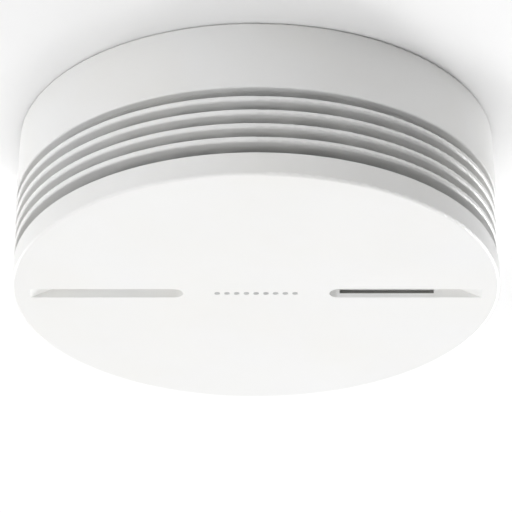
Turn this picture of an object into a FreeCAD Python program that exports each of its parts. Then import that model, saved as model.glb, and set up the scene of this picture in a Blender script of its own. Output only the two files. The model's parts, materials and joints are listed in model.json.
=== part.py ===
"""Ceiling smoke alarm: a round louvred head on a bayonet plate, with a front face that is its test button.

Frame: millimetres, +Z up. The origin is the centre of the face on the ceiling, and the alarm hangs below it.
+X points to the sounder slot in the face, and -X to the status light slot.
"""

import FreeCAD
import Part

import math
import os

V = FreeCAD.Vector
UP = V(0, 0, 1)
ORIGIN = V(0, 0, 0)
OUT_FOLDER = "parts"

# ---------------------------------------------------------------- driving dimensions
OUTER_R = 57.5            # 115 mm across the face
HEIGHT = 39.75            # ceiling to face
SKIN = 2.1                # wall of the housing and of the front cover
RIM_GAP = 0.15            # shadow gap between the housing's rim and the ceiling
RIM_R = 57.0              # the plain band tapers to this radius at its rim
LOUVRES = 4
LOUVRE_T = 1.3
VENT_GAP = 2.2
COVER_GAP = 2.7           # the last gap, between the lowest louvre and the front cover
COVER_H = 5.7             # height of the front cover's band
PRESS_TRAVEL = 0.6        # the face moves this far when it is pressed
TWIST_DEG = 20.0          # turn that frees the head from the plate
PIN_TRAVEL = 2.0          # the plate's ramp holds the sensing pin down this far
FIT = 0.08                # radial clearance of a sliding pin in its guide

# ---------------------------------------------------------------- levels, from the ceiling down
FACE_Z = -HEIGHT
COVER_TOP = FACE_Z + COVER_H
BAND_LOW = COVER_TOP + COVER_GAP + LOUVRES * (VENT_GAP + LOUVRE_T)
PLATE_LOW = -2.2
SKIRT_LOW = -7.0
BACK_TOP, BACK_LOW = -7.6, -9.4
BOARD_TOP, BOARD_LOW = -15.0, -16.6
FLOOR_LOW = FACE_Z + 5.0
FLOOR_TOP = FLOOR_LOW + 1.4
FACE_INNER = FACE_Z + 2.0

# ---------------------------------------------------------------- radii
HOUSING_BORE = 55.0       # inside the recess that takes the plate
SPIGOT_BORE = 55.3        # inside the lower end, where the vent cage plugs in
CAGE_R = 52.4             # outside of the cage's posts and floor, inside of the louvres
POST_IN = 50.2
SCREEN_R = 50.1           # outside of the insect screen, just inside the posts
BOARD_R = 49.4
PLATE_R = 53.6
SKIRT_IN, SKIRT_OUT = 49.0, 51.0

# ---------------------------------------------------------------- bayonet
LUG_ANGLES = (45, 135, 225, 315)
LUG_SPAN = 18.0
PLATE_LUG_TOP = -5.2
HOUSING_LUG = (-3.1, -5.05)
HOUSING_LUG_IN = 51.35

# ---------------------------------------------------------------- places in plan
TOWER_R, TOWER_ANGLES = 46.9, (60, 180, 300)
BOARD_BOSSES = ((32.9, 19.0), (-35.7, 13.0), (-3.3, -37.9))
CHAMBER = (-9.0, 24.0)
CHAMBER_R = 20.0
SOUNDER = (29.0, 0.0)
SOUNDER_R = 18.0
CELL_R, CELL_LENGTH = 7.25, 50.5
CELLS = ((-17.0, -13.5), (-6.0, -29.5))
CELL_Z = FLOOR_TOP + 0.15 + CELL_R
KEY = (26.0, -30.0)
LIGHT = (-38.0, 0.0)
HOOK_R, HOOK_ANGLES = 46.5, (45, 135, 217, 315)
SPRING_PLACE_R, SPRING_ANGLES = 40.0, (88, 208, 328)
PIN_PLACE_R, PIN_ANGLE = 38.0, 90 + TWIST_DEG / 2

# ---------------------------------------------------------------- grooves in the face
GROOVE_W = 4.25
GROOVE_DEPTH = 2.6
GROOVE_IN = 17.3          # rounded inner end
GROOVE_OUT = 53.4         # outer tip, where the ramp meets the face
GROOVE_RAMP = 5.9
TROUGH_WALL = 1.3
SLOT = (19.8, 42.2)       # sound slot in the far wall of the +X groove
SLOT_LIP = 1.13           # face material left below the sound slot


# ---------------------------------------------------------------- shape helpers
def polar(radius, degrees):
    a = math.radians(degrees)
    return radius * math.cos(a), radius * math.sin(a)


def cylinder(radius, z0, z1, x=0.0, y=0.0):
    low, high = min(z0, z1), max(z0, z1)
    return Part.makeCylinder(radius, high - low, V(x, y, low), UP)


def tube(inner, outer, z0, z1, x=0.0, y=0.0):
    return cylinder(outer, z0, z1, x, y).cut(cylinder(inner, min(z0, z1) - 1, max(z0, z1) + 1, x, y))


def block(x0, x1, y0, y1, z0, z1):
    low = V(min(x0, x1), min(y0, y1), min(z0, z1))
    return Part.makeBox(abs(x1 - x0), abs(y1 - y0), abs(z1 - z0), low)


def turned(shape, degrees, centre=ORIGIN, axis=UP):
    copy = shape.copy()
    copy.rotate(centre, axis, degrees)
    return copy


def moved(shape, x=0.0, y=0.0, z=0.0):
    copy = shape.copy()
    copy.translate(V(x, y, z))
    return copy


def sector(inner, outer, z0, z1, middle, span):
    """A piece of a ring about the Z axis."""
    corners = [V(inner, 0, z0), V(outer, 0, z0), V(outer, 0, z1), V(inner, 0, z1), V(inner, 0, z0)]
    face = turned(Part.Face(Part.makePolygon(corners)), middle - span / 2)
    return face.revolve(ORIGIN, UP, span)


def rounded_wire(corners, point):
    """A closed wire through (a, b, radius) corners. point makes the vector of each (a, b)."""
    edges = []
    ends = []
    for i, (a, b, r) in enumerate(corners):
        here = V(a, b, 0)
        before = V(*corners[i - 1][:2], 0) - here
        after = V(*corners[(i + 1) % len(corners)][:2], 0) - here
        before.normalize()
        after.normalize()
        half = before.getAngle(after) / 2
        reach = r / math.tan(half)
        start, stop = here + before * reach, here + after * reach
        middle = before + after
        middle.normalize()
        top = here + middle * (r / math.sin(half) - r)
        ends.append((start, top, stop, r))
    for i, (start, top, stop, r) in enumerate(ends):
        if r:
            edges.append(Part.Arc(point(start), point(top), point(stop)).toShape())
        following = ends[(i + 1) % len(ends)][0]
        if (following - stop).Length > 1e-6:
            edges.append(Part.LineSegment(point(stop), point(following)).toShape())
    return Part.Wire(Part.__sortEdges__(edges))


def revolved(corners, x=0.0, y=0.0):
    """A body of revolution from (radius, z, corner radius) corners, about a vertical axis through x, y."""
    wire = rounded_wire(corners, lambda p: V(p.x, 0, p.y))
    return moved(Part.Face(wire).revolve(ORIGIN, UP, 360), x, y)


def extruded(corners, z0, z1):
    """A prism from (x, y, corner radius) corners."""
    wire = rounded_wire(corners, lambda p: V(p.x, p.y, z0))
    return Part.Face(wire).extrude(V(0, 0, z1 - z0))


def obround(length, width, z0, z1, x, y, along_y=False):
    half = (length - width) / 2
    shape = block(-half, half, -width / 2, width / 2, z0, z1)
    shape = shape.fuse([cylinder(width / 2, z0, z1, end) for end in (-half, half)])
    if along_y:
        shape = turned(shape, 90)
    return moved(shape.removeSplitter(), x, y)


def joined(first, others):
    return first.fuse(list(others)).removeSplitter()


def coil(radius, wire_r, z0, z1, turns, x, y):
    """An open coil spring that stands between the levels z0 and z1."""
    height = z1 - z0 - 2 * wire_r
    path = Part.makeHelix(height / turns, height, radius)
    section = Part.makeCircle(wire_r, V(radius, 0, 0), V(0, 1, 0))
    spring = Part.Wire(path.Edges).makePipeShell([Part.Wire(section)], True, True)
    return moved(spring, x, y, z0 + wire_r)


def cross_recess(x, y, z_head, depth, up=True):
    """Tool that cuts a cross drive into a screw head."""
    z0, z1 = (z_head - depth, z_head + 1) if up else (z_head - 1, z_head + depth)
    reach, half = 1.6, 0.3
    bar = block(x - reach, x + reach, y - half, y + half, z0, z1)
    return bar.fuse(block(x - half, x + half, y - reach, y + reach, z0, z1))


def pan_screw(x, y, seat, length, shank_r, head_r, head_h, up=True):
    """A pan-head screw whose head sits on the level seat. up means that the head is above it."""
    way = 1 if up else -1
    head = [(0, 0, 0), (head_r, 0, 0), (head_r, head_h, head_h * 0.6), (0, head_h, 0)]
    solid = revolved(head)
    if not up:
        solid.rotate(ORIGIN, V(1, 0, 0), 180)
    solid = moved(solid, x, y, seat)
    solid = solid.fuse(cylinder(shank_r, seat, seat - way * length, x, y))
    return solid.cut(cross_recess(x, y, seat + way * head_h, head_h * 0.6, up)).removeSplitter()


def group(solids):
    return Part.makeCompound(list(solids))


# ---------------------------------------------------------------- mounting plate
SLOT_W, SLOT_LENGTH = 4.5, 10.0
SLOTS_X = 60.0            # spacing of a European flush box
SLOTS_Y = 50.8            # spacing of a round conduit box
WEB_DEPTH = 0.9
PLATE_RIBS = 8
HUB_R = 15.3


def sensing_ramp():
    """The ramp under the plate that holds the sensing pin down while the head is locked."""
    reach = PIN_PLACE_R * math.sin(math.radians(TWIST_DEG / 2))
    land = 3.6
    low = PLATE_LOW - PIN_TRAVEL
    points = [V(reach, 35.6, PLATE_LOW + 0.2), V(reach, 35.6, PLATE_LOW), V(-reach, 35.6, low),
              V(-reach - land, 35.6, low), V(-reach - land, 35.6, PLATE_LOW + 0.2)]
    return Part.Face(Part.makePolygon(points + points[:1])).extrude(V(0, 4.0, 0))


def screw_slots(grow=0.0, z0=1.0, z1=-4.0):
    length, width = SLOT_LENGTH + 2 * grow, SLOT_W + 2 * grow
    along_x = [obround(length, width, z0, z1, s * SLOTS_X / 2, 0) for s in (-1, 1)]
    along_y = [obround(length, width, z0, z1, 0, s * SLOTS_Y / 2, True) for s in (-1, 1)]
    return along_x + along_y


def mounting_plate():
    disc = revolved([(0, PLATE_LOW, 0), (PLATE_R, PLATE_LOW, 0.3), (PLATE_R, 0, 0.4), (0, 0, 0)])
    skirt = tube(SKIRT_IN, SKIRT_OUT, PLATE_LOW, SKIRT_LOW)
    lugs = [sector(SKIRT_OUT - 0.2, PLATE_R, SKIRT_LOW, PLATE_LUG_TOP, a, LUG_SPAN) for a in LUG_ANGLES]
    step = 360 / PLATE_RIBS
    low, high = PLATE_LOW - 1.6, PLATE_LOW + 0.2
    ribs = [sector(HUB_R - 0.3, SKIRT_IN + 0.2, low, high, step * (i + 0.5), 1.8) for i in range(PLATE_RIBS)]
    hub = tube(HUB_R - 1.8, HUB_R, low, high)
    bosses = screw_slots(2.4, PLATE_LOW - 1.0, PLATE_LOW + 0.2)
    plate = joined(disc, [skirt, hub, sensing_ramp(), *lugs, *ribs, *bosses])
    return plate.cut(plate_webs()).cut(screw_slots()).removeSplitter()


def plate_webs():
    """The shallow pockets in the ceiling side, which leave ribs and pads that touch the ceiling."""
    step = 360 / PLATE_RIBS
    pockets = [sector(12.0, 46.5, -WEB_DEPTH, 1.0, step * i, step - 7.0) for i in range(PLATE_RIBS)]
    pads = screw_slots(3.2, -WEB_DEPTH - 1, 2.0)
    return group(p.cut(pads) for p in pockets)


# ---------------------------------------------------------------- head: housing and vents
POCKET_R, POCKET_FLOOR = 3.1, -9.6
SCREW_SEAT_T = 1.6


def rear_housing():
    wall = [(HOUSING_BORE, BACK_TOP + 0.1, 0), (HOUSING_BORE, -RIM_GAP, 0.4), (RIM_R, -RIM_GAP, 0.5),
            (OUTER_R, BAND_LOW, 0.35), (SPIGOT_BORE, BAND_LOW, 0), (SPIGOT_BORE, BACK_LOW, 0),
            (0, BACK_LOW, 0), (0, BACK_TOP, 0), (HOUSING_BORE - 0.1, BACK_TOP, 0)]
    solid = revolved(wall)
    lugs = [sector(HOUSING_LUG_IN, HOUSING_BORE + 0.3, *HOUSING_LUG, a, LUG_SPAN) for a in LUG_ANGLES]
    before = LUG_SPAN / 2 + 1.6
    stops = [sector(HOUSING_LUG_IN, HOUSING_BORE + 0.3, HOUSING_LUG[0], BACK_TOP - 0.2, a - before, 2.4)
             for a in LUG_ANGLES]
    towers = [polar(TOWER_R, a) for a in TOWER_ANGLES]
    pockets = [cylinder(POCKET_R + 1.2, BACK_LOW + 0.2, POCKET_FLOOR - SCREW_SEAT_T, *t) for t in towers]
    bosses = [cylinder(3.2, BACK_LOW + 0.2, BOARD_TOP, *b) for b in BOARD_BOSSES]
    pin = polar(PIN_PLACE_R, PIN_ANGLE)
    guide = cylinder(4.0, BACK_LOW + 0.2, BACK_LOW - 1.2, *pin)
    ring_rib = tube(24.0, 25.4, BACK_LOW + 0.2, BACK_LOW - 0.6)
    solid = joined(solid, [*lugs, *stops, *pockets, *bosses, guide, ring_rib])
    cuts = [cylinder(POCKET_R, BACK_TOP + 1, POCKET_FLOOR, *t) for t in towers]
    cuts += [cylinder(1.7, BACK_TOP, POCKET_FLOOR - 3, *t) for t in towers]
    cuts += [cylinder(1.25, BOARD_TOP - 1, BOARD_TOP + 4.6, *b) for b in BOARD_BOSSES]
    cuts.append(cylinder(PIN_R + FIT, BACK_TOP + 1, BACK_LOW - 3, *pin))
    return solid.cut(cuts).removeSplitter()


POSTS = 24
TOWER_RADIUS = 2.8
SPIGOT_TOP = -13.6


def vent_cage():
    """The inner frame: a floor, posts behind the louvres, a spigot for the housing, and screw towers."""
    floor = cylinder(CAGE_R, FLOOR_TOP, FLOOR_LOW)
    spigot_in, spigot_out = POST_IN + 0.4, SPIGOT_BORE - 0.1
    spigot = revolved([(spigot_in, BAND_LOW, 0), (spigot_out, BAND_LOW, 0), (spigot_out, SPIGOT_TOP, 0.5),
                       (spigot_in, SPIGOT_TOP, 0)])
    post = block(POST_IN, CAGE_R + 2, -1.1, 1.1, FLOOR_TOP - 0.2, BAND_LOW + 0.2)
    post = post.common(cylinder(CAGE_R, FLOOR_LOW, BOARD_TOP))
    step = 360 / POSTS
    posts = [turned(post, step / 2 + step * i) for i in range(POSTS)]
    towers = [polar(TOWER_R, a) for a in TOWER_ANGLES]
    tower_top = POCKET_FLOOR - SCREW_SEAT_T - 0.05
    columns = [cylinder(TOWER_RADIUS, FLOOR_TOP - 0.2, tower_top, *t) for t in towers]
    seat_low, seat_high = FLOOR_LOW - 0.9, FLOOR_LOW + 0.2
    seats = [tube(3.2, 4.3, seat_low, seat_high, *polar(SPRING_PLACE_R, a)) for a in SPRING_ANGLES]
    cage = joined(floor, [spigot, *posts, *columns, *seats])
    cuts = [cylinder(1.45, tower_top + 1, tower_top - 13, *t) for t in towers]
    cuts += [sector(44.6, 47.75, FLOOR_LOW - 1, FLOOR_TOP + 1, a, 9.2) for a in HOOK_ANGLES]
    cuts.append(cylinder(3.0, FLOOR_LOW - 1, FLOOR_TOP + 1, *KEY))
    cuts.append(cylinder(2.3, FLOOR_LOW - 1, FLOOR_TOP + 1, *LIGHT))
    cuts.append(sound_port(FLOOR_LOW - 1, FLOOR_TOP + 1))
    return cage.cut(cuts).removeSplitter()


def sound_port(z0, z1):
    """The way out of the sounder, over the duct behind the sound slot."""
    return obround(18.0, 4.0, z0, z1, 31.0, 5.9)


def louvre_ring(index):
    top = BAND_LOW - VENT_GAP - index * (VENT_GAP + LOUVRE_T)
    low = top - LOUVRE_T
    return revolved([(CAGE_R, low, 0), (OUTER_R, low, 0.5), (OUTER_R, top, 0.3), (CAGE_R, top, 0)])


def vent_screen():
    """The fine sleeve behind the louvres that keeps insects out."""
    return tube(SCREEN_R - 0.15, SCREEN_R, FLOOR_TOP + 0.1, BOARD_LOW - 0.7)


def housing_screws():
    return group(pan_screw(*polar(TOWER_R, a), POCKET_FLOOR, 12.0, 1.4, 2.7, 1.8) for a in TOWER_ANGLES)


# ---------------------------------------------------------------- front cover, which is the test button
DOTS = 9                  # a plain row of printed dots in the middle of the face
DOT_PITCH = 2.3
DOT_R, DOT_DEPTH = 0.7, 0.12
LIGHT_BAR = (-44.0, -24.0)  # the frosted bar in the -X groove
LIGHT_BAR_W = 2.4


def groove(side):
    """One groove: straight walls, a round inner end, and a floor that ramps to the face at its outer end."""
    floor_z = FACE_Z + GROOVE_DEPTH
    half = GROOVE_W / 2
    below = 1.0
    tip = GROOVE_OUT + below * GROOVE_RAMP / GROOVE_DEPTH
    start = GROOVE_IN + half
    outline = [V(start, -half, FACE_Z - below), V(tip, -half, FACE_Z - below),
               V(GROOVE_OUT - GROOVE_RAMP, -half, floor_z), V(start, -half, floor_z)]
    channel = Part.Face(Part.makePolygon(outline + outline[:1])).extrude(V(0, GROOVE_W, 0))
    shape = channel.fuse(cylinder(half, FACE_Z - below, floor_z, start)).removeSplitter()
    return shape if side > 0 else shape.mirror(ORIGIN, V(1, 0, 0))


def sound_slot_cut():
    """The slot through the groove's far wall, and the recess behind it that leads to the duct."""
    x0, x1 = SLOT
    z0 = FACE_Z + SLOT_LIP
    wall = GROOVE_W / 2 + TROUGH_WALL
    return block(x0, x1, GROOVE_W / 2 - 0.3, wall + 0.5, z0, FACE_Z + GROOVE_DEPTH).fuse(
        block(x0, x1, wall, wall + 5.0, z0, FACE_INNER + 0.1))


def duct_wall():
    """A low wall on the inside of the face that leads the sound from the port to the slot."""
    x0, x1 = SLOT[0] - 1.2, SLOT[1] + 1.2
    y0 = GROOVE_W / 2 + TROUGH_WALL - 0.2
    y1 = y0 + 6.5
    top = FLOOR_LOW - PRESS_TRAVEL - 0.3
    outer = block(x0 - 1.2, x1 + 1.2, y0, y1, FACE_INNER - 0.2, top)
    return outer.cut(block(x0, x1, y0 - 1, y1 - 1.2, FACE_INNER - 1, top + 1))


def cover_hook():
    """A snap hook that passes through the cage's floor and holds the cover against its springs."""
    stem = block(HOOK_R - 0.8, HOOK_R + 0.7, -3.0, 3.0, FACE_INNER - 0.2, FLOOR_TOP + 1.4)
    low, high = FLOOR_TOP + 0.06, FLOOR_TOP + 1.4
    points = [V(HOOK_R, -3.0, low), V(HOOK_R + 2.1, -3.0, low), V(HOOK_R + 2.1, -3.0, low + 0.4),
              V(HOOK_R + 0.7, -3.0, high), V(HOOK_R, -3.0, high)]
    barb = Part.Face(Part.makePolygon(points + points[:1])).extrude(V(0, 6.0, 0))
    return stem.fuse(barb).removeSplitter()


def front_cover():
    inner = OUTER_R - SKIN
    shell = revolved([(0, FACE_Z, 0), (OUTER_R, FACE_Z, 0.7), (OUTER_R, COVER_TOP, 0.35),
                      (inner, COVER_TOP, 0.3), (inner, FACE_INNER, 0.6), (0, FACE_INNER, 0)])
    half = GROOVE_W / 2 + TROUGH_WALL
    root = FACE_INNER - 0.2
    trough_top = FACE_Z + GROOVE_DEPTH + 1.2
    troughs = [block(side * (GROOVE_IN - 1.4), side * (inner - 0.5), -half, half, root, trough_top)
               for side in (-1, 1)]
    hooks = [turned(cover_hook(), a) for a in HOOK_ANGLES]
    pins = [cylinder(1.6, root, FACE_INNER + 1.2, *polar(SPRING_PLACE_R, a)) for a in SPRING_ANGLES]
    pillar = cylinder(2.0, root, KEY_TIP - 0.06, *KEY)
    pillar_foot = cylinder(3.6, root, FACE_INNER + 1.0, *KEY)
    cover = joined(shell, [*troughs, duct_wall(), *hooks, *pins, pillar, pillar_foot])
    half_bar = LIGHT_BAR_W / 2
    window = block(*LIGHT_BAR, -half_bar, half_bar, FACE_Z + 1, trough_top + 1)
    first = -DOT_PITCH * (DOTS - 1) / 2
    dots = [cylinder(DOT_R, FACE_Z - 1, FACE_Z + DOT_DEPTH, first + DOT_PITCH * i) for i in range(DOTS)]
    return cover.cut([groove(1), groove(-1), sound_slot_cut(), window, *dots]).removeSplitter()


def status_light_pipe():
    """A frosted bar in the floor of the -X groove, with a stalk that reaches up to the status light."""
    x0, x1 = LIGHT_BAR
    gap = 0.05
    half = LIGHT_BAR_W / 2 - gap
    floor_z = FACE_Z + GROOVE_DEPTH
    top = floor_z + 1.2
    bar = block(x0 + gap, x1 - gap, -half, half, floor_z - 0.1, top + 0.3)
    collar = block(x0 - 1, x1 + 1, -1.9, 1.9, top + 0.01, top + 0.4)
    stalk = cylinder(1.5, top, BOARD_LOW - 2.4, *LIGHT)
    return joined(bar, [collar, stalk])


def sound_mesh():
    """The dust mesh behind the sound slot."""
    x0, x1 = SLOT
    wall = GROOVE_W / 2 + TROUGH_WALL
    return block(x0 + 0.05, x1 - 0.05, wall + 0.02, wall + 0.42, FACE_Z + SLOT_LIP + 0.02, FACE_Z + 3.6)


def cover_springs():
    """Short waisted silicone springs between the cover and the cage's floor."""
    z0, z1 = FACE_INNER + 0.02, FLOOR_LOW - 0.02
    bore, waist, foot = 1.8, 2.3, 2.8
    wall = [(bore, z0, 0), (foot, z0, 0), (foot, z0 + 0.7, 0.2), (waist, (z0 + z1) / 2, 0.3),
            (foot, z1 - 0.7, 0.2), (foot, z1, 0), (bore, z1, 0)]
    return group(revolved(wall, *polar(SPRING_PLACE_R, a)) for a in SPRING_ANGLES)


# ---------------------------------------------------------------- circuit board and what is on it
def circuit_board():
    board = cylinder(BOARD_R, BOARD_TOP, BOARD_LOW)
    notches = [cylinder(TOWER_RADIUS + 0.5, 0, -30, *polar(TOWER_R, a)) for a in TOWER_ANGLES]
    notches += [cylinder(TOWER_RADIUS + 0.5, 0, -30, *polar(TOWER_R + 3, a)) for a in TOWER_ANGLES]
    holes = [cylinder(1.7, 0, -30, *b) for b in BOARD_BOSSES]
    holes += [cylinder(1.1, 0, -30, *c) for c in chamber_screw_places()]
    return board.cut(notches + holes).removeSplitter()


def board_screws():
    return group(pan_screw(*b, BOARD_LOW, 5.4, 1.2, 2.6, 1.7, up=False) for b in BOARD_BOSSES)


def radio_module():
    return block(11.0, 31.0, 22.0, 36.0, BOARD_TOP, BOARD_TOP + 0.8)


def radio_shield():
    can = block(11.8, 25.0, 22.8, 35.2, BOARD_TOP + 0.8, BOARD_TOP + 2.8)
    return can.cut(block(12.0, 24.8, 23.0, 35.0, BOARD_TOP, BOARD_TOP + 2.6))


def radio_antenna():
    """A meandering strip at the clear end of the radio's board."""
    z0 = BOARD_TOP + 0.8
    pieces = []
    for i in range(6):
        y = 23.2 + 2.2 * i
        pieces.append(block(26.0, 30.4, y, y + 0.6, z0, z0 + 0.1))
        x = 29.8 if i % 2 else 26.0
        if i < 5:
            pieces.append(block(x, x + 0.6, y, y + 2.8, z0, z0 + 0.1))
    return joined(pieces[0], pieces[1:])


def microcontroller():
    body = block(-4.5, 4.5, -4.5, 4.5, BOARD_TOP + 0.1, BOARD_TOP + 1.1)
    body = body.cut(cylinder(0.5, BOARD_TOP + 1.0, BOARD_TOP + 2, -3.5, 3.5))
    legs = []
    for i in range(10):
        p = -3.6 + 0.8 * i
        for side in (-1, 1):
            legs.append(block(side * 4.4, side * 5.6, p - 0.15, p + 0.15, BOARD_TOP, BOARD_TOP + 0.25))
            legs.append(block(p - 0.15, p + 0.15, side * 4.4, side * 5.6, BOARD_TOP, BOARD_TOP + 0.25))
    return joined(body, legs)


def capacitors():
    """Surface-mount can capacitors: an aluminium can on a square base."""
    solids = []
    for x, y in ((-20.0, -6.0), (-20.0, -14.0), (-12.0, -20.0)):
        base = block(x - 2.8, x + 2.8, y - 2.8, y + 2.8, BOARD_TOP, BOARD_TOP + 0.9)
        z = BOARD_TOP + 0.8
        can = revolved([(0, z, 0), (2.5, z, 0), (2.5, z + 3.6, 0.4), (0, z + 3.6, 0)], x, y)
        solids.append(base.fuse(can).removeSplitter())
    return group(solids)


def driver_coil():
    """The inductor that lifts the battery voltage for the sounder."""
    x, y = 14.0, -14.0
    z = BOARD_TOP
    flange, winding = 4.0, 2.9
    core = [(0, z, 0), (flange, z, 0.2), (flange, z + 0.9, 0), (winding, z + 0.9, 0),
            (winding, z + 3.4, 0), (flange, z + 3.4, 0), (flange, z + 4.3, 0.2), (0, z + 4.3, 0)]
    return revolved(core, x, y)


def chip_parts():
    """Rows of small resistors and capacitors."""
    solids = []
    for i in range(8):
        for x, y in ((-33.0 + 3.0 * i, -27.0), (6.0 + 3.0 * i, -34.0 + 0.4 * i), (-12.0 + 3.0 * i, 12.0)):
            if math.hypot(x - BOARD_BOSSES[2][0], y - BOARD_BOSSES[2][1]) > 5:
                solids.append(block(x - 0.8, x + 0.8, y - 0.4, y + 0.4, BOARD_TOP, BOARD_TOP + 0.55))
    return group(solids)


def status_light():
    body = block(LIGHT[0] - 1.6, LIGHT[0] + 1.6, -1.4, 1.4, BOARD_LOW - 0.9, BOARD_LOW)
    lens = [(0, -0.3, 0), (1.1, -0.3, 0.2), (1.1, 0.2, 0), (0, 0.2, 0)]
    return body.fuse(moved(revolved(lens), *LIGHT, BOARD_LOW - 0.9)).removeSplitter()


KEY_R = 1.7
KEY_TIP = -21.0
KEY_BODY_LOW = BOARD_LOW - 3.5


def test_switch():
    x, y = KEY
    body = block(x - 3.1, x + 3.1, y - 3.1, y + 3.1, BOARD_LOW, KEY_BODY_LOW)
    legs = []
    for side in (-1, 1):
        for leg_y in (y - 2.2, y + 2.2):
            x0, x1 = x + side * 3.0, x + side * 4.2
            legs.append(block(x0, x1, leg_y - 0.35, leg_y + 0.35, BOARD_LOW, BOARD_LOW - 0.3))
    return joined(body, legs).cut(cylinder(KEY_R + FIT, KEY_BODY_LOW - 1, KEY_BODY_LOW + 1.9, x, y))


def test_switch_cap():
    top = KEY_TIP + 1.9
    return revolved([(0, KEY_TIP, 0), (KEY_R, KEY_TIP, 0.3), (KEY_R, top, 0), (0, top, 0)], *KEY)


# ---------------------------------------------------------------- pin that senses the mounting plate
PIN_R = 2.5
PIN_TIP = PLATE_LOW - PIN_TRAVEL - 0.15
PIN_FOOT = -13.8
PIN_BORE = 1.6
LEVER_X = PIN_PLACE_R * math.cos(math.radians(PIN_ANGLE)) - 9.0
LEVER_Y = PIN_PLACE_R * math.sin(math.radians(PIN_ANGLE))
LEVER_Z = PIN_FOOT - 0.35
LEVER_LENGTH = 6.2


def mount_sensor_pin():
    x, y = polar(PIN_PLACE_R, PIN_ANGLE)
    flange, flange_top = 3.6, PIN_FOOT + 0.7
    shaft = revolved([(0, PIN_FOOT, 0), (flange, PIN_FOOT, 0), (flange, flange_top, 0),
                      (PIN_R, flange_top, 0), (PIN_R, PIN_TIP, 2.0), (0, PIN_TIP, 0)], x, y)
    return shaft.cut(cylinder(PIN_BORE, PIN_FOOT - 1, BACK_TOP + 0.6, x, y))


def mount_sensor_spring():
    return coil(1.15, 0.18, BOARD_TOP + 0.02, BACK_TOP + 0.58, 9, *polar(PIN_PLACE_R, PIN_ANGLE))


def mount_sensor_switch():
    """The body of the switch, with a slot between two cheeks that carry the lever."""
    body = block(LEVER_X - 4.4, LEVER_X + 1.4, LEVER_Y - 2.0, LEVER_Y + 2.0, BOARD_TOP, BOARD_TOP + 2.4)
    slot = block(LEVER_X - 1.6, LEVER_X + 2.0, LEVER_Y - 1.0, LEVER_Y + 1.0, BOARD_TOP - 1, BOARD_TOP + 3)
    hole = Part.makeCylinder(0.5 + FIT, 6, V(LEVER_X, LEVER_Y - 3, LEVER_Z), V(0, 1, 0))
    return body.cut([slot, hole]).removeSplitter()


def mount_sensor_lever():
    pivot = Part.makeCylinder(0.5, 3.8, V(LEVER_X, LEVER_Y - 1.9, LEVER_Z), V(0, 1, 0))
    arm = block(LEVER_X, LEVER_X + LEVER_LENGTH, LEVER_Y - 0.8, LEVER_Y + 0.8, LEVER_Z - 0.25, LEVER_Z + 0.25)
    tip = Part.makeCylinder(0.25, 1.6, V(LEVER_X + LEVER_LENGTH, LEVER_Y - 0.8, LEVER_Z), V(0, 1, 0))
    return joined(pivot, [arm, tip])


# ---------------------------------------------------------------- optical smoke chamber
CHAMBER_TOP, CHAMBER_LOW = BOARD_LOW - 0.1, -31.4
CHAMBER_BASE_T = 1.8
VANES = 24
OPTICS_ANGLES = (205, 335)
OPTICS_Z = CHAMBER_TOP - CHAMBER_BASE_T - 4.0
CHAMBER_SCREWS = ((0.0, 8.0), (0.0, -7.0))


def chamber_screw_places():
    return [(CHAMBER[0] + dx, CHAMBER[1] + dy) for dx, dy in CHAMBER_SCREWS]


def optics_axis(angle):
    """The direction that an optical part looks in: towards the chamber's middle."""
    x, y = polar(-1.0, angle)
    return V(x, y, 0)


def chamber_base():
    top, low = CHAMBER_TOP, CHAMBER_TOP - CHAMBER_BASE_T
    base = cylinder(CHAMBER_R, top, low)
    bosses = [cylinder(2.2, low + 0.1, low - 3.0, *place) for place in CHAMBER_SCREWS]
    solid = joined(base, bosses)
    for angle in OPTICS_ANGLES:
        holder = turned(block(6.0, 13.2, -2.6, 2.6, low + 0.1, OPTICS_Z - 2.4), angle)
        bore = Part.makeCylinder(1.56, 12, V(*polar(14.0, angle), OPTICS_Z), optics_axis(angle))
        solid = solid.fuse(holder).cut(bore)
    solid = solid.cut([cylinder(0.85, top + 1, low - 2.4, *place) for place in CHAMBER_SCREWS])
    return moved(solid.removeSplitter(), *CHAMBER)


def chamber_cover():
    """The dark cap: a plate with chevron vanes that let smoke in and keep light out."""
    cap = cylinder(CHAMBER_R, CHAMBER_LOW, CHAMBER_LOW + 1.2)
    top = CHAMBER_TOP - CHAMBER_BASE_T - 0.1
    vane = extruded([(14.4, -1.2, 0), (16.9, 0.9, 0), (19.4, -1.2, 0), (19.4, -0.2, 0), (16.9, 1.9, 0),
                     (14.4, -0.2, 0)], CHAMBER_LOW + 1.0, top)
    vanes = [turned(vane, 360 / VANES * i) for i in range(VANES)]
    low = CHAMBER_LOW + 1.0
    grid = [block(-9.0, 9.0, 3 * i - 0.3, 3 * i + 0.3, low, low + 1.0) for i in range(-2, 3)]
    return moved(joined(cap, vanes + grid), *CHAMBER)


def insect_screen():
    """A thin steel band with fine upright slots."""
    band = tube(CHAMBER_R + 0.15, CHAMBER_R + 0.4, CHAMBER_LOW + 0.2, CHAMBER_TOP - 0.3)
    slots = 60
    slot = block(CHAMBER_R - 1, CHAMBER_R + 1, -0.5, 0.5, CHAMBER_LOW + 2.0, CHAMBER_TOP - 2.2)
    cuts = [turned(slot, 360 / slots * i) for i in range(slots)]
    return moved(band.cut(cuts), *CHAMBER)


def chamber_screws():
    return group(pan_screw(x, y, BOARD_TOP, 5.0, 0.8, 1.7, 1.1) for x, y in chamber_screw_places())


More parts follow.
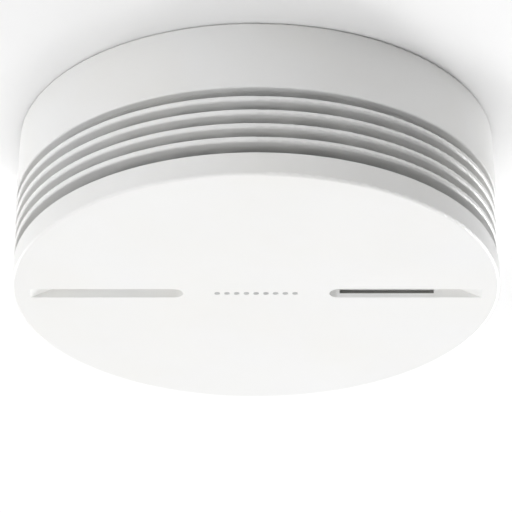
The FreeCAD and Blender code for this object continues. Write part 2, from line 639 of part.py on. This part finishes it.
def lensed_lamp(angle, length):
    """A 3 mm lamp or diode in its holder: a rim, a barrel and a domed lens."""
    body = [(0, 0, 0), (1.5, 0, 0), (1.5, length, 1.45), (0, length, 0)]
    lamp = revolved(body)
    lamp.rotate(ORIGIN, V(0, 1, 0), -90)
    lamp = moved(lamp, 12.8, 0, 0)
    lead_top = CHAMBER_TOP - CHAMBER_BASE_T - OPTICS_Z - 0.1
    leads = [block(12.6, 13.5, y - 0.2, y + 0.2, -0.2, 0.2).fuse(
        block(13.4, 13.8, y - 0.2, y + 0.2, -0.2, lead_top)) for y in (-0.6, 0.6)]
    shape = turned(joined(lamp, leads), angle)
    return moved(shape, *CHAMBER, OPTICS_Z)


# ---------------------------------------------------------------- sounder
SOUNDER_TOP = -20.6
SHELF_Z = -22.8
BRASS_R, CERAMIC_R = 15.6, 11.0


def sounder_horn():
    """The cup that stands on the cage's floor, with a shelf for the diaphragm and a port above the duct."""
    low = FLOOR_TOP + 0.05
    bore, shelf = SOUNDER_R - 1.6, 14.6
    cup = revolved([(0, low, 0), (SOUNDER_R, low, 0.4), (SOUNDER_R, SOUNDER_TOP, 0.3), (bore, SOUNDER_TOP, 0),
                    (bore, SHELF_Z, 0), (shelf, SHELF_Z, 0), (shelf, SHELF_Z - 1.2, 0),
                    (bore, SHELF_Z - 3.2, 0), (bore, low + 1.2, 0), (0, low + 1.2, 0)], *SOUNDER)
    return cup.cut(sound_port(low - 1, low + 3))


def sounder_diaphragm():
    return cylinder(BRASS_R, SHELF_Z + 0.02, SHELF_Z + 0.27, *SOUNDER)


def sounder_ceramic():
    return cylinder(CERAMIC_R, SHELF_Z + 0.27, SHELF_Z + 0.52, *SOUNDER)


def sounder_retainer():
    x, y = SOUNDER
    ring = revolved([(13.8, SHELF_Z + 0.3, 0), (16.3, SHELF_Z + 0.3, 0), (16.3, SOUNDER_TOP - 0.3, 0.3),
                     (13.8, SOUNDER_TOP - 0.3, 0.3)], x, y)
    return ring.cut(block(x - 20, x + 20, y - 1.0, y + 1.0, SHELF_Z + 0.9, SOUNDER_TOP + 1))


def sounder_contacts():
    """Two sprung pins that press on the brass and on the ceramic."""
    solids = []
    for inward, tip in ((12.4, SHELF_Z + 0.29), (5.0, SHELF_Z + 0.54)):
        x, y = SOUNDER[0] - inward, SOUNDER[1]
        barrel = cylinder(0.9, BOARD_LOW, BOARD_LOW - 3.4, x, y)
        solids.append(joined(barrel, [cylinder(0.5, BOARD_LOW - 3.2, tip, x, y),
                                      cylinder(1.4, BOARD_LOW, BOARD_LOW - 0.4, x, y)]))
    return group(solids)


# ---------------------------------------------------------------- cells
def lithium_cell(place):
    """A sealed AA-size lithium cell that lies along X, with its cap at the +X end."""
    end = CELL_LENGTH / 2
    shoulder, cap_r = end - 1.4, 2.8
    cell = revolved([(0, -end, 0), (CELL_R, -end, 0.6), (CELL_R, shoulder, 0.6), (cap_r, shoulder, 0),
                     (cap_r, end, 0.3), (0, end, 0)])
    cell.rotate(ORIGIN, V(0, 1, 0), 90)
    return moved(cell, *place, CELL_Z)


def cell_saddles():
    """Two ribs that stand on the cage's floor and hold both cells apart."""
    y_low, y_high = CELLS[1][1] - CELL_R - 1.0, CELLS[0][1] + CELL_R + 1.0
    solids = []
    for x in (-26.0, 4.0):
        rib = block(x - 1.0, x + 1.0, y_low, y_high, FLOOR_TOP, CELL_Z - 0.4)
        for _, y in CELLS:
            tool = Part.makeCylinder(CELL_R + 0.1, 20, V(x - 10, y, CELL_Z), V(1, 0, 0))
            rib = rib.cut(tool)
        solids.extend(rib.Solids)
    return group(solids)


def cell_tabs():
    """Nickel strips welded to the cells' ends and bent up to the board."""
    solids = []
    for x, y in CELLS:
        for side in (-1, 1):
            end = x + side * (CELL_LENGTH / 2 + 0.02)
            solids.append(block(end, end + side * 0.25, y - 1.6, y + 1.6, CELL_Z - 2.0, BOARD_LOW))
    return group(solids)


# ---------------------------------------------------------------- all parts
def build():
    parts = {
        "mounting_plate": mounting_plate(),
        "rear_housing": rear_housing(),
        "vent_cage": vent_cage(),
        "vent_screen": vent_screen(),
        "housing_screws": housing_screws(),
        "front_cover": front_cover(),
        "status_light_pipe": status_light_pipe(),
        "sound_mesh": sound_mesh(),
        "cover_springs": cover_springs(),
        "circuit_board": circuit_board(),
        "board_screws": board_screws(),
        "radio_module": radio_module(),
        "radio_shield": radio_shield(),
        "radio_antenna": radio_antenna(),
        "microcontroller": microcontroller(),
        "capacitors": capacitors(),
        "driver_coil": driver_coil(),
        "chip_parts": chip_parts(),
        "status_light": status_light(),
        "test_switch": test_switch(),
        "test_switch_cap": test_switch_cap(),
        "mount_sensor_pin": mount_sensor_pin(),
        "mount_sensor_spring": mount_sensor_spring(),
        "mount_sensor_switch": mount_sensor_switch(),
        "mount_sensor_lever": mount_sensor_lever(),
        "chamber_base": chamber_base(),
        "chamber_cover": chamber_cover(),
        "chamber_screws": chamber_screws(),
        "insect_screen": insect_screen(),
        "infrared_lamp": lensed_lamp(OPTICS_ANGLES[0], 5.0),
        "photodiode": lensed_lamp(OPTICS_ANGLES[1], 4.0),
        "sounder_horn": sounder_horn(),
        "sounder_diaphragm": sounder_diaphragm(),
        "sounder_ceramic": sounder_ceramic(),
        "sounder_retainer": sounder_retainer(),
        "sounder_contacts": sounder_contacts(),
        "cell_saddles": cell_saddles(),
        "cell_tabs": cell_tabs(),
    }
    for i in range(LOUVRES):
        parts[f"louvre_ring_{i + 1}"] = louvre_ring(i)
    for i, place in enumerate(CELLS):
        parts[f"lithium_cell_{i + 1}"] = lithium_cell(place)
    return parts


def main():
    os.makedirs(OUT_FOLDER, exist_ok=True)
    for name, shape in build().items():
        solids = shape.Solids
        if not solids or not all(s.isValid() and s.Volume > 0 for s in solids):
            raise RuntimeError(f"{name} isn't a set of valid solids")
        shape.exportStep(os.path.join(OUT_FOLDER, f"{name}.step"))
        print(f"{name}: {len(solids)} solids, {sum(s.Volume for s in solids):.1f} mm3")


main()
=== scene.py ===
"""Looks, lights and camera for the ceiling smoke alarm.

Metres, in the CAD frame: the ceiling is z = 0 and +Z is up.
"""

import json
import math

import bmesh
import bpy
from mathutils import Euler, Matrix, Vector


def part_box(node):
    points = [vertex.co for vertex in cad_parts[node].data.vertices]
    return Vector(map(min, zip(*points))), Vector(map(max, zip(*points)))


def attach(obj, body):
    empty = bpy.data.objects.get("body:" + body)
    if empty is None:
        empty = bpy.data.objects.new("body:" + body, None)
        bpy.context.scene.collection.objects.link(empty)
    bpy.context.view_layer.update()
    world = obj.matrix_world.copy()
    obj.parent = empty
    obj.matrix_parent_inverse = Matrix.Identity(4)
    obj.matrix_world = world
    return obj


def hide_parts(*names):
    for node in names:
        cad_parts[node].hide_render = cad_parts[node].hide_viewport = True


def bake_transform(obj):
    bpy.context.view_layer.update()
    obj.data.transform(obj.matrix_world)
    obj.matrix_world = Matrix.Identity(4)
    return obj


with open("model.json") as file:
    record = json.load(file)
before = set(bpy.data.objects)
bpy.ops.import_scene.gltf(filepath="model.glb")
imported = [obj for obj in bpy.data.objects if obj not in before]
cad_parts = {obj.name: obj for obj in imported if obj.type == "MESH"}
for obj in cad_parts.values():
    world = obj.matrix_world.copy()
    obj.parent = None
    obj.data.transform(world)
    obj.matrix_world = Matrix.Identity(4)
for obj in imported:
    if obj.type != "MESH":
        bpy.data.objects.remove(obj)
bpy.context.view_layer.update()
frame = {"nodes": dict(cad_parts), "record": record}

MM = 0.001

# ---------------------------------------------------------------- sizes that come from the frame
cover_low, cover_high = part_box("front_cover")
FACE_Z = cover_low.z
OUTER_R = (cover_high.x - cover_low.x) / 2
HEIGHT = -FACE_Z

nodes = frame["nodes"]


# ---------------------------------------------------------------- node helpers
def new_material(name):
    """A material with one principled shader. Gives the material, its node tree and the shader."""
    material = bpy.data.materials.new(name)
    material.use_nodes = True
    tree = material.node_tree
    tree.nodes.clear()
    out = tree.nodes.new("ShaderNodeOutputMaterial")
    shader = tree.nodes.new("ShaderNodeBsdfPrincipled")
    tree.links.new(shader.outputs["BSDF"], out.inputs["Surface"])
    return material, tree, shader


def position(tree):
    """Where the surface is, in metres."""
    return tree.nodes.new("ShaderNodeTexCoord").outputs["Object"]


def noise(tree, where, scale, detail=3.0, roughness=0.55):
    node = tree.nodes.new("ShaderNodeTexNoise")
    node.inputs["Scale"].default_value = scale
    node.inputs["Detail"].default_value = detail
    node.inputs["Roughness"].default_value = roughness
    tree.links.new(where, node.inputs["Vector"])
    return node.outputs["Fac"]


def cell_edges(tree, where, scale):
    """The distance to the nearest edge of a net of irregular cells."""
    node = tree.nodes.new("ShaderNodeTexVoronoi")
    node.feature = "DISTANCE_TO_EDGE"
    node.inputs["Scale"].default_value = scale
    tree.links.new(where, node.inputs["Vector"])
    return node.outputs["Distance"]


def spread(tree, value, low, high, from_low=0.3, from_high=0.7):
    """Carries value's range from_low..from_high to low..high. The default is the middle of a noise."""
    node = tree.nodes.new("ShaderNodeMapRange")
    node.inputs["From Min"].default_value = from_low
    node.inputs["From Max"].default_value = from_high
    node.inputs["To Min"].default_value = low
    node.inputs["To Max"].default_value = high
    tree.links.new(value, node.inputs["Value"])
    return node.outputs["Result"]


def math_node(tree, operation, a, b):
    node = tree.nodes.new("ShaderNodeMath")
    node.operation = operation
    for socket, value in zip(node.inputs, (a, b)):
        if isinstance(value, (int, float)):
            socket.default_value = value
        else:
            tree.links.new(value, socket)
    return node.outputs["Value"]


def mix_colour(tree, share, a, b):
    """Colour a where share is 0 and colour b where it is 1."""
    node = tree.nodes.new("ShaderNodeMix")
    node.data_type = "RGBA"
    tree.links.new(share, node.inputs["Factor"])
    for name, value in (("A", a), ("B", b)):
        socket = [s for s in node.inputs if s.name == name and s.type == "RGBA"][0]
        if isinstance(value, tuple):
            socket.default_value = (*value, 1.0)
        else:
            tree.links.new(value, socket)
    return [s for s in node.outputs if s.type == "RGBA"][0]


def bump(tree, shader, height, strength, distance, normal=None):
    """Fine relief on the shader's normal. Gives that normal, for a second bump to start from."""
    node = tree.nodes.new("ShaderNodeBump")
    node.inputs["Strength"].default_value = strength
    node.inputs["Distance"].default_value = distance
    tree.links.new(height, node.inputs["Height"])
    if normal is not None:
        tree.links.new(normal, node.inputs["Normal"])
    tree.links.new(node.outputs["Normal"], shader.inputs["Normal"])
    return node.outputs["Normal"]


def edge_mask(tree, radius):
    """1 along sharp edges and 0 on open surfaces."""
    bevel = tree.nodes.new("ShaderNodeBevel")
    bevel.samples = 4
    bevel.inputs["Radius"].default_value = radius
    geometry = tree.nodes.new("ShaderNodeNewGeometry")
    dot = tree.nodes.new("ShaderNodeVectorMath")
    dot.operation = "DOT_PRODUCT"
    tree.links.new(bevel.outputs["Normal"], dot.inputs[0])
    tree.links.new(geometry.outputs["Normal"], dot.inputs[1])
    return spread(tree, dot.outputs["Value"], 1.0, 0.0, 0.75, 0.99)


def scaled(colour, factor):
    return tuple(c * factor for c in colour)


def mottle(tree, shader, patch, colours, roughness, most=1.0):
    """Colour and roughness that drift together with patch. most is the largest share of the second colour."""
    base = mix_colour(tree, spread(tree, patch, 0.0, most), *colours)
    tree.links.new(base, shader.inputs["Base Color"])
    tree.links.new(spread(tree, patch, *roughness), shader.inputs["Roughness"])


# ---------------------------------------------------------------- materials
WARMER = (0.985, 0.98, 0.965)
EDGE_WIDTH = 0.25 * MM


def white_plastic(name, colour=(0.88, 0.88, 0.876), roughness=0.42):
    """Moulded white ABS: spark-eroded texture, faint cast mottling, polished edges, and a painted highlight
    that makes sharp edges slightly lighter.
    """
    material, tree, shader = new_material(name)
    where = position(tree)
    warm = tuple(c * k for c, k in zip(colour, WARMER))
    base = mix_colour(tree, spread(tree, noise(tree, where, scale=38.0, detail=2.0), 0.0, 1.0), colour, warm)
    edges = edge_mask(tree, EDGE_WIDTH)
    # painted highlight: the base colour is 3 % lighter along sharp edges (the roughness drop below is the
    # polish)
    base = mix_colour(tree, math_node(tree, "MULTIPLY", edges, 0.5), base, scaled(colour, 1.03))
    tree.links.new(base, shader.inputs["Base Color"])
    smudge = noise(tree, where, scale=75.0, detail=4.0)
    rough = spread(tree, smudge, roughness - 0.05, roughness + 0.06)
    rough = math_node(tree, "SUBTRACT", rough, math_node(tree, "MULTIPLY", edges, 0.1))
    tree.links.new(rough, shader.inputs["Roughness"])
    shader.inputs["IOR"].default_value = 1.5
    grain = noise(tree, where, scale=4200.0, detail=2.0)
    waves = noise(tree, where, scale=160.0, detail=1.0)
    first = bump(tree, shader, waves, strength=0.05, distance=0.1 * MM)
    bump(tree, shader, grain, strength=0.12, distance=0.02 * MM, normal=first)
    return material


def dark_plastic(name, colour=(0.03, 0.03, 0.032), roughness=0.5):
    """Moulded dark plastic with a fine grain and slightly paler patches."""
    material, tree, shader = new_material(name)
    where = position(tree)
    lighter = tuple(c * 1.5 + 0.01 for c in colour)
    patch = noise(tree, where, scale=120.0)
    mottle(tree, shader, patch, (colour, lighter), (roughness - 0.08, roughness + 0.1), most=0.6)
    bump(tree, shader, noise(tree, where, scale=3500.0, detail=2.0), strength=0.2, distance=0.02 * MM)
    return material


def metal(name, colour, roughness=0.3, brushed=False):
    """Plated or bare sheet and wire. Brushed metal has its grain lying round the part."""
    material, tree, shader = new_material(name)
    where = position(tree)
    shader.inputs["Metallic"].default_value = 1.0
    if brushed:
        mapping = tree.nodes.new("ShaderNodeMapping")
        mapping.inputs["Scale"].default_value = (1.0, 1.0, 30.0)
        tree.links.new(where, mapping.inputs["Vector"])
        where = mapping.outputs["Vector"]
    patch = noise(tree, where, scale=300.0, detail=4.0)
    mottle(tree, shader, patch, (colour, scaled(colour, 0.8)), (roughness - 0.08, roughness + 0.12))
    bump(tree, shader, noise(tree, where, scale=2500.0, detail=2.0), strength=0.08, distance=0.01 * MM)
    return material


def board_green(name):
    """Solder resist over copper tracks."""
    material, tree, shader = new_material(name)
    where = position(tree)
    tracks = spread(tree, cell_edges(tree, where, 420.0), 1.0, 0.0, 0.04, 0.09)
    base = mix_colour(tree, tracks, (0.012, 0.11, 0.045), (0.02, 0.19, 0.075))
    tree.links.new(base, shader.inputs["Base Color"])
    tree.links.new(spread(tree, noise(tree, where, scale=200.0), 0.2, 0.34), shader.inputs["Roughness"])
    shader.inputs["Coat Weight"].default_value = 0.4
    bump(tree, shader, tracks, strength=0.3, distance=0.03 * MM)
    return material


def film(name, colour):
    """Heat-shrink film on a cell."""
    material, tree, shader = new_material(name)
    where = position(tree)
    mottle(tree, shader, noise(tree, where, scale=90.0), (colour, scaled(colour, 0.8)), (0.22, 0.36))
    bump(tree, shader, noise(tree, where, scale=260.0, detail=2.0), strength=0.15, distance=0.06 * MM)
    return material


def frosted(name, colour=(0.86, 0.87, 0.86)):
    """Milky plastic that lets a little light into it."""
    material, tree, shader = new_material(name)
    where = position(tree)
    share = spread(tree, noise(tree, where, scale=150.0), 0.0, 1.0)
    base = mix_colour(tree, share, colour, scaled(colour, 0.95))
    tree.links.new(base, shader.inputs["Base Color"])
    tree.links.new(spread(tree, noise(tree, where, scale=900.0), 0.4, 0.55), shader.inputs["Roughness"])
    shader.inputs["Subsurface Weight"].default_value = 0.4
    shader.inputs["Subsurface Radius"].default_value = (2 * MM, 2 * MM, 2 * MM)
    shader.inputs["Subsurface Scale"].default_value = 0.5
    bump(tree, shader, noise(tree, where, scale=3000.0, detail=2.0), strength=0.15, distance=0.02 * MM)
    return material


def ink(name, colour=(0.42, 0.42, 0.42)):
    """Pad-printed ink, slightly uneven."""
    material, tree, shader = new_material(name)
    where = position(tree)
    patch = noise(tree, where, scale=1500.0)
    mottle(tree, shader, patch, (colour, scaled(colour, 1.2)), (0.4, 0.55))
    bump(tree, shader, patch, strength=0.1, distance=0.02 * MM)
    return material


def silicone(name):
    """Soft translucent rubber."""
    material, tree, shader = new_material(name)
    where = position(tree)
    colours = ((0.72, 0.72, 0.70), (0.66, 0.66, 0.63))
    mottle(tree, shader, noise(tree, where, scale=200.0), colours, (0.45, 0.6))
    shader.inputs["Subsurface Weight"].default_value = 0.3
    shader.inputs["Subsurface Scale"].default_value = 0.001
    bump(tree, shader, noise(tree, where, scale=2500.0, detail=2.0), strength=0.1, distance=0.02 * MM)
    return material


def ceiling_paint(name):
    """Matt emulsion. Its upper side lets light and sight through, so the alarm can be seen from above."""
    material, tree, shader = new_material(name)
    where = position(tree)
    shader.inputs["Base Color"].default_value = (0.93, 0.93, 0.93, 1.0)
    shader.inputs["Roughness"].default_value = 0.95
    shader.inputs["Specular IOR Level"].default_value = 0.0
    bump(tree, shader, noise(tree, where, scale=500.0), strength=0.03, distance=0.1 * MM)
    geometry = tree.nodes.new("ShaderNodeNewGeometry")
    clear = tree.nodes.new("ShaderNodeBsdfTransparent")
    mix = tree.nodes.new("ShaderNodeMixShader")
    tree.links.new(geometry.outputs["Backfacing"], mix.inputs["Fac"])
    tree.links.new(shader.outputs["BSDF"], mix.inputs[1])
    tree.links.new(clear.outputs["BSDF"], mix.inputs[2])
    out = [n for n in tree.nodes if n.type == "OUTPUT_MATERIAL"][0]
    tree.links.new(mix.outputs["Shader"], out.inputs["Surface"])
    return material


# one look for each material slot of the record
MATERIALS = {
    "white_body": white_plastic("white_abs"),
    "zinc_steel": metal("zinc_plate", (0.62, 0.62, 0.58), 0.35),
    "silicone": silicone("silicone_clear"),
    "spring_steel": metal("spring_wire", (0.55, 0.55, 0.54), 0.28),
    "screen_steel": metal("etched_sheet", (0.50, 0.51, 0.52), 0.35, brushed=True),
    "tin_can": metal("tin_plate", (0.72, 0.72, 0.69), 0.3),
    "can_aluminium": metal("can_skin", (0.78, 0.79, 0.80), 0.28),
    "cell_wrap": film("cell_film", (0.03, 0.12, 0.10)),
    "frosted_pipe": frosted("frosted_guide"),
    # dark dust mesh whose solid dark backing is partly painted shade: it stands in for the shadow inside the
    # sound slot's opening
    "dust_mesh": dark_plastic("dust_mesh_and_painted_shade", (0.19, 0.19, 0.18), 0.7),
    "board": board_green("solder_resist"),
    "copper_trace": metal("tinned_copper", (0.75, 0.50, 0.30), 0.3),
    "chip_black": dark_plastic("epoxy_black"),
    "lamp_clear": frosted("lamp_lens", (0.80, 0.86, 0.80)),
    "lamp_dark": dark_plastic("tinted_lens", (0.04, 0.015, 0.05), 0.2),
    "switch_cap": dark_plastic("key_black", (0.04, 0.04, 0.045), 0.4),
    "sensor_white": white_plastic("acetal_white", (0.74, 0.74, 0.72), 0.35),
    "chamber_black": dark_plastic("light_trap_black", (0.015, 0.015, 0.016), 0.6),
    "horn_black": dark_plastic("horn_black", (0.03, 0.03, 0.03), 0.45),
    "brass": metal("brass_sheet", (0.72, 0.52, 0.22), 0.3),
    "ceramic_white": white_plastic("silvered_ceramic", (0.70, 0.68, 0.62), 0.4),
}


def dress_frame():
    """Gives every CAD node the look of its material slot."""
    slots = {s["node"]: s["material_slot"] for s in frame["record"]["subparts"]}
    for name, node in nodes.items():
        node.data.materials.clear()
        node.data.materials.append(MATERIALS[slots[name]])


# ---------------------------------------------------------------- mesh helpers
def make_object(name, mesh, material):
    thing = bpy.data.objects.new(name, mesh)
    bpy.context.scene.collection.objects.link(thing)
    mesh.materials.append(material)
    return thing


def circle(radius, steps, z=0.0, x=0.0):
    """Points on a level circle round (x, 0)."""
    turns = (2 * math.pi * i / steps for i in range(steps))
    return [(x + radius * math.cos(t), radius * math.sin(t), z) for t in turns]


def mesh_object(name, build, material):
    """A new piece whose mesh is made by build(bm)."""
    mesh = bpy.data.meshes.new(name)
    bm = bmesh.new()
    build(bm)
    bmesh.ops.recalc_face_normals(bm, faces=bm.faces)
    for face in bm.faces:
        face.smooth = True
    bm.to_mesh(mesh)
    bm.free()
    return make_object(name, mesh, material)


def add_strand(bm, points, radius, sides, closed=False):
    """A wire along points."""
    points = [Vector(p) for p in points]
    count = len(points)
    rings = []
    for i, here in enumerate(points):
        ahead = points[(i + 1) % count] if closed or i + 1 < count else here
        behind = points[i - 1] if closed or i > 0 else here
        way = (ahead - behind).normalized()
        across = way.cross(Vector((0, 0, 1)))
        if across.length < 0.01:
            across = way.cross(Vector((here.x, here.y, 0.0)))
        across.normalize()
        other = way.cross(across)
        rings.append([bm.verts.new(here + radius * (math.cos(t) * across + math.sin(t) * other))
                      for t in (2 * math.pi * k / sides for k in range(sides))])
    for i in range(count if closed else count - 1):
        a, b = rings[i], rings[(i + 1) % count]
        for k in range(sides):
            j = (k + 1) % sides
            bm.faces.new((a[k], a[j], b[j], b[k]))
    if not closed:
        bm.faces.new(rings[0])
        bm.faces.new(rings[-1][::-1])


# ---------------------------------------------------------------- pieces made here
MESH_PITCH = 1.05 * MM
MESH_WIRE = 0.11 * MM     # radius
MESH_INSET = 0.08 * MM    # of the wires' middles, from the CAD sleeve's outer wall
HOOP_STEPS = 144


def woven_screen():
    """The fine steel mesh sleeve behind the louvres."""
    low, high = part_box("vent_screen")
    radius = high.x - MESH_INSET
    uprights = int(2 * math.pi * radius / MESH_PITCH)
    hoops = int((high.z - low.z) / MESH_PITCH)
    step = (high.z - low.z - 2 * MESH_WIRE) / hoops

    def build(bm):
        for x, y, _ in circle(radius, uprights):
            add_strand(bm, [(x, y, low.z), (x, y, high.z)], MESH_WIRE, 4)
        for j in range(hoops + 1):
            hoop = circle(radius, HOOP_STEPS, low.z + MESH_WIRE + step * j)
            add_strand(bm, hoop, MESH_WIRE, 4, closed=True)

    screen = mesh_object("vent_mesh_wires", build, MATERIALS["screen_steel"])
    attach(screen, "alarm_head")
    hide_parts("vent_screen")


WEAVE_PITCH = 0.42 * MM
WEAVE_WIRE = 0.06 * MM    # radius


def slot_weave():
    """Woven strands over the dust mesh behind the sound slot."""
    low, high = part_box("sound_mesh")
    y = low.y + WEAVE_WIRE

    def build(bm):
        for i in range(1, int((high.x - low.x) / WEAVE_PITCH)):
            x = low.x + WEAVE_PITCH * i
            add_strand(bm, [(x, y, low.z + WEAVE_WIRE), (x, y, high.z - WEAVE_WIRE)], WEAVE_WIRE, 6)
        for j in range(1, int((high.z - low.z) / WEAVE_PITCH)):
            z = low.z + WEAVE_PITCH * j
            add_strand(bm, [(low.x + WEAVE_WIRE, y, z), (high.x - WEAVE_WIRE, y, z)], WEAVE_WIRE, 6)

    weave = mesh_object("sound_mesh_weave", build, MATERIALS["dust_mesh"])
    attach(weave, "face_button")


DOTS = 9
DOT_PITCH = 2.3 * MM
DOT_R = 0.66 * MM
DOT_DEPTH = 0.12 * MM
DOT_STEPS = 24
DOT_RINGS = ((1.0, 0.0), (0.97, 0.2), (0.85, 0.38), (0.55, 0.5))   # share of the radius, share of the depth
DOT_CROWN = 0.55                                                  # share of the depth


def printed_dots():
    """Pads of pale ink in the row of shallow dimples in the middle of the face."""
    top = FACE_Z + DOT_DEPTH

    def build(bm):
        for i in range(DOTS):
            x = DOT_PITCH * (i - (DOTS - 1) / 2)
            rings = [[bm.verts.new(p) for p in circle(share * DOT_R, DOT_STEPS, top - drop * DOT_DEPTH, x)]
                     for share, drop in DOT_RINGS]
            tip = bm.verts.new((x, 0.0, top - DOT_CROWN * DOT_DEPTH))
            bm.faces.new(rings[0])
            for k in range(DOT_STEPS):
                j = (k + 1) % DOT_STEPS
                for outer, inner in zip(rings, rings[1:]):
                    bm.faces.new((outer[k], outer[j], inner[j], inner[k]))
                bm.faces.new((rings[-1][k], rings[-1][j], tip))

    dots = mesh_object("face_dots", build, ink("dot_ink"))
    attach(dots, "face_button")


def soft_spring(name, node, slot):
    """A copy of the CAD spring's mesh, put in place of that node, which is hidden."""
    mesh = nodes[node].data.copy()
    mesh.materials.clear()
    spring = make_object(name, mesh, MATERIALS[slot])
    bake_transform(spring)
    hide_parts(node)


# ---------------------------------------------------------------- stage
CEILING_R = 1.6
CEILING_OVERLAP = 6 * MM  # how far the ceiling reaches in over the alarm
CEILING_STEPS = 192


def stage():
    """The ceiling that the alarm hangs from: a flat ring that faces down."""
    mesh = bpy.data.meshes.new("ceiling")
    bm = bmesh.new()
    inner, outer = ([bm.verts.new(p) for p in circle(radius, CEILING_STEPS)]
                    for radius in (OUTER_R - CEILING_OVERLAP, CEILING_R))
    for i in range(CEILING_STEPS):
        j = (i + 1) % CEILING_STEPS
        bm.faces.new((inner[j], outer[j], outer[i], inner[i]))
    bm.to_mesh(mesh)
    bm.free()
    ceiling = make_object("ceiling", mesh, ceiling_paint("ceiling_paint"))


# ---------------------------------------------------------------- lights and camera
ROOM_ABOVE = 0.5          # strength of the room's light from the horizon up
ROOM_BELOW = 0.15         # and from well below
ROOM_BELOW_SLOPE = -0.6   # the height on the unit sphere where "well below" starts
BACKDROP = 0.6            # what is seen behind the alarm from above

MIDDLE = -HEIGHT / 2      # of the alarm

# name: place, size across, watts, and the height on the alarm's axis that the disc looks at
LIGHTS = {
    "below_near": ((0, 0, -0.6), 0.3, 1.06, MIDDLE),
    "below_left": ((-0.5, -0.5, -0.6), 0.3, 0.65, MIDDLE),
    "below_front": ((0, -0.4, -1.1), 0.6, 1.4, MIDDLE),
    "below_back": ((0, 0.45, -1.0), 0.5, 2.2, MIDDLE),
    "left_low": ((-0.9, -0.5, -0.25), 0.4, 1.64, MIDDLE),
    "left_deep": ((-0.9, -0.5, -0.6), 0.5, 1.44, MIDDLE),
    "rim_left": ((-0.5, 0.5, -0.15), 0.2, 1.4, MIDDLE),
    "rim_right": ((0.6, 0.9, -0.25), 0.4, 9.3, MIDDLE),
    "rim_far_right": ((1.2, 0.8, -0.2), 0.3, 1.74, MIDDLE),
    "overhead": ((0.3, -0.5, 1.1), 0.9, 2.6, 0.0),
}


def lights():
    for name, (place, size, power, aim) in LIGHTS.items():
        data = bpy.data.lights.new(name, "AREA")
        data.shape = "DISK"
        data.size = size
        data.energy = power
        light = bpy.data.objects.new(name, data)
        bpy.context.scene.collection.objects.link(light)
        light.location = place
        way = Vector((0, 0, aim)) - Vector(place)
        light.rotation_euler = way.to_track_quat("-Z", "Y").to_euler()
    studio_world()
    bpy.context.scene.view_settings.view_transform = "Standard"


def studio_world():
    """A pale room: it lights from above and around, less from below, and is seen as one plain level."""
    world = bpy.data.worlds.new("studio")
    world.use_nodes = True
    tree = world.node_tree
    background = tree.nodes["Background"]
    background.inputs["Color"].default_value = (1.0, 1.0, 1.0, 1.0)
    split = tree.nodes.new("ShaderNodeSeparateXYZ")
    tree.links.new(tree.nodes.new("ShaderNodeTexCoord").outputs["Generated"], split.inputs["Vector"])
    level = spread(tree, split.outputs["Z"], ROOM_BELOW, ROOM_ABOVE, ROOM_BELOW_SLOPE, 0.0)
    seen = tree.nodes.new("ShaderNodeLightPath").outputs["Is Camera Ray"]
    strength = spread(tree, seen, 0.0, BACKDROP, 0.0, 1.0)
    tree.links.new(level, strength.node.inputs["To Min"])
    tree.links.new(strength, background.inputs["Strength"])
    bpy.context.scene.world = world


CAMERA_BACK = 11.6        # in outer radii, before the alarm
CAMERA_DROP = 6.6427      # in outer radii, below the ceiling
CAMERA_SIDE = -0.04 * MM  # off the middle
CAMERA_PITCH = 27.836     # degrees up
CAMERA_LENS = 223.0       # mm
SENSOR_WIDTH = 36.0       # mm
NEAR_CLIP = 10 * MM


def camera():
    data = bpy.data.cameras.new("camera")
    data.lens = CAMERA_LENS
    data.sensor_width = SENSOR_WIDTH
    data.clip_start = NEAR_CLIP
    eye = bpy.data.objects.new("camera", data)
    bpy.context.scene.collection.objects.link(eye)
    eye.location = (CAMERA_SIDE, -CAMERA_BACK * OUTER_R, -CAMERA_DROP * OUTER_R)
    eye.rotation_euler = Euler((math.radians(90 + CAMERA_PITCH), 0.0, 0.0))
    bpy.context.scene.camera = eye


# ---------------------------------------------------------------- the scene
dress_frame()
woven_screen()
slot_weave()
printed_dots()
soft_spring("face_return_springs", "cover_springs", "silicone")
soft_spring("pin_return_spring", "mount_sensor_spring", "spring_steel")
stage()
lights()
camera()
